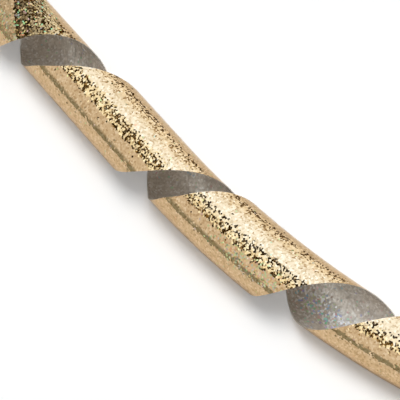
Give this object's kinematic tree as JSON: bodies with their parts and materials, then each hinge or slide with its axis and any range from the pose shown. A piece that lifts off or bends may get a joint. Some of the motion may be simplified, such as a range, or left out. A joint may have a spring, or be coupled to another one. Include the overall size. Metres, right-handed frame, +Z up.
{
  "type": "rhythmic ribbon wand",
  "caption": "Rhythmic gymnastics wand lying on the floor: gold glitter ribbon in loose curls, sewn to an eyelet, on a sprung clip and swivel at the tip of a slim stick with a ribbed grip.",
  "frame": {"origin": "on the floor, under the middle of the box round the whole layout", "axes": "+Z up from the floor; +X from the wand towards the curled tail; +Y away from the wand's butt"},
  "size_m": [0.8442, 0.3661, 0.0306],
  "materials": {
    "gold_film": "glitter film with fine rainbow flakes, gold",
    "grey_backing": "dull metallised grey with faint sparkle",
    "tab_leather": "fine-grained tan leather",
    "thread": "twisted pale gold thread",
    "gilt": "polished gilt brass",
    "nickel": "bright nickel plate",
    "steel": "plain drawn steel",
    "nylon": "natural nylon",
    "rod_ivory": "gloss ivory fibreglass",
    "grip_rubber": "fine matte charcoal rubber"
  },
  "bodies": {
    "ribbon": {"ribbon_film": "gold_film", "ribbon_backing": "grey_backing", "end_tab_top": "tab_leather", "end_tab_bottom": "tab_leather", "end_stitching": "thread", "eyelet": "gilt", "eyelet_washer": "gilt"},
    "clip": {"clip_body": "nickel"},
    "gate": {"clip_gate": "nickel", "gate_pin": "steel", "gate_spring": "steel"},
    "swivel": {"swivel_spindle": "nickel"},
    "stick": {"swivel_washer": "nylon", "swivel_cap": "gilt", "ferrule": "gilt", "ferrule_rivet": "gilt", "rod": "rod_ivory", "grip_collar": "gilt", "grip_sleeve": "grip_rubber", "butt_cap": "grip_rubber"}
  },
  "joints": [
    {"name": "clip_swing", "type": "hinge", "parent": "ribbon", "child": "clip", "pos_m": [-0.37515, 0.16013, 0.0082], "axis": [0, 0, 1], "range_deg": [-185, 5]},
    {"name": "gate_hinge", "type": "hinge", "parent": "clip", "child": "gate", "pos_m": [-0.37771, 0.13783, 0.0142], "axis": [-0.9935, 0.114, 0], "range_deg": [0, 12], "stiffness_Nm_per_rad": 0.002, "springref_deg": -11.46},
    {"name": "swivel_swing", "type": "hinge", "parent": "clip", "child": "swivel", "pos_m": [-0.37857, 0.13033, 0.0082], "axis": [0, 0, 1], "range_deg": [-45, 45]},
    {"name": "stick_spin", "type": "hinge", "parent": "swivel", "child": "stick", "pos_m": [-0.37948, 0.12238, 0.0082], "axis": [-0.114, -0.9935, 0], "continuous": true}
  ]
}
